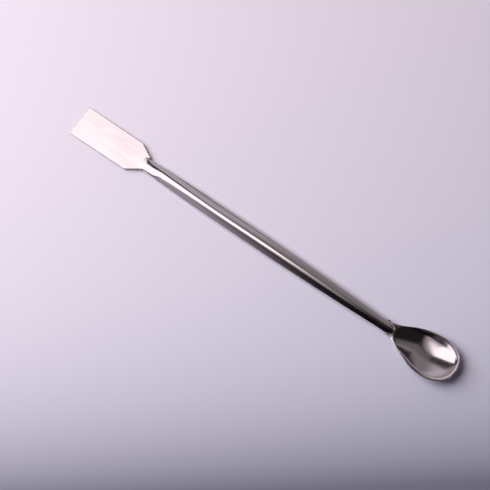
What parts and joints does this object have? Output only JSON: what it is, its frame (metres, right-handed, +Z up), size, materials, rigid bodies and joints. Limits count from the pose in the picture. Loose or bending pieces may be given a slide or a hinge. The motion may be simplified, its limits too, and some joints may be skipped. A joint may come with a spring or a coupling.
{
  "type": "lab spatula",
  "caption": "Slim polished steel tool with a flat rectangular blade at one end, a flat-oval handle that swells in the middle and a shallow oval spoon at the other.",
  "frame": {"origin": "centre of the footprint, on the surface that the tool lies on", "axes": "+X along the tool from the blade's tip to the spoon's tip, +Y across it, +Z up out of the spoon's hollow"},
  "size_m": [0.1998, 0.02, 0.0058],
  "materials": {
    "steel": "polished stainless steel with fine lengthwise rubbing marks"
  },
  "bodies": {
    "root": {"spatula": "steel"}
  },
  "joints": []
}
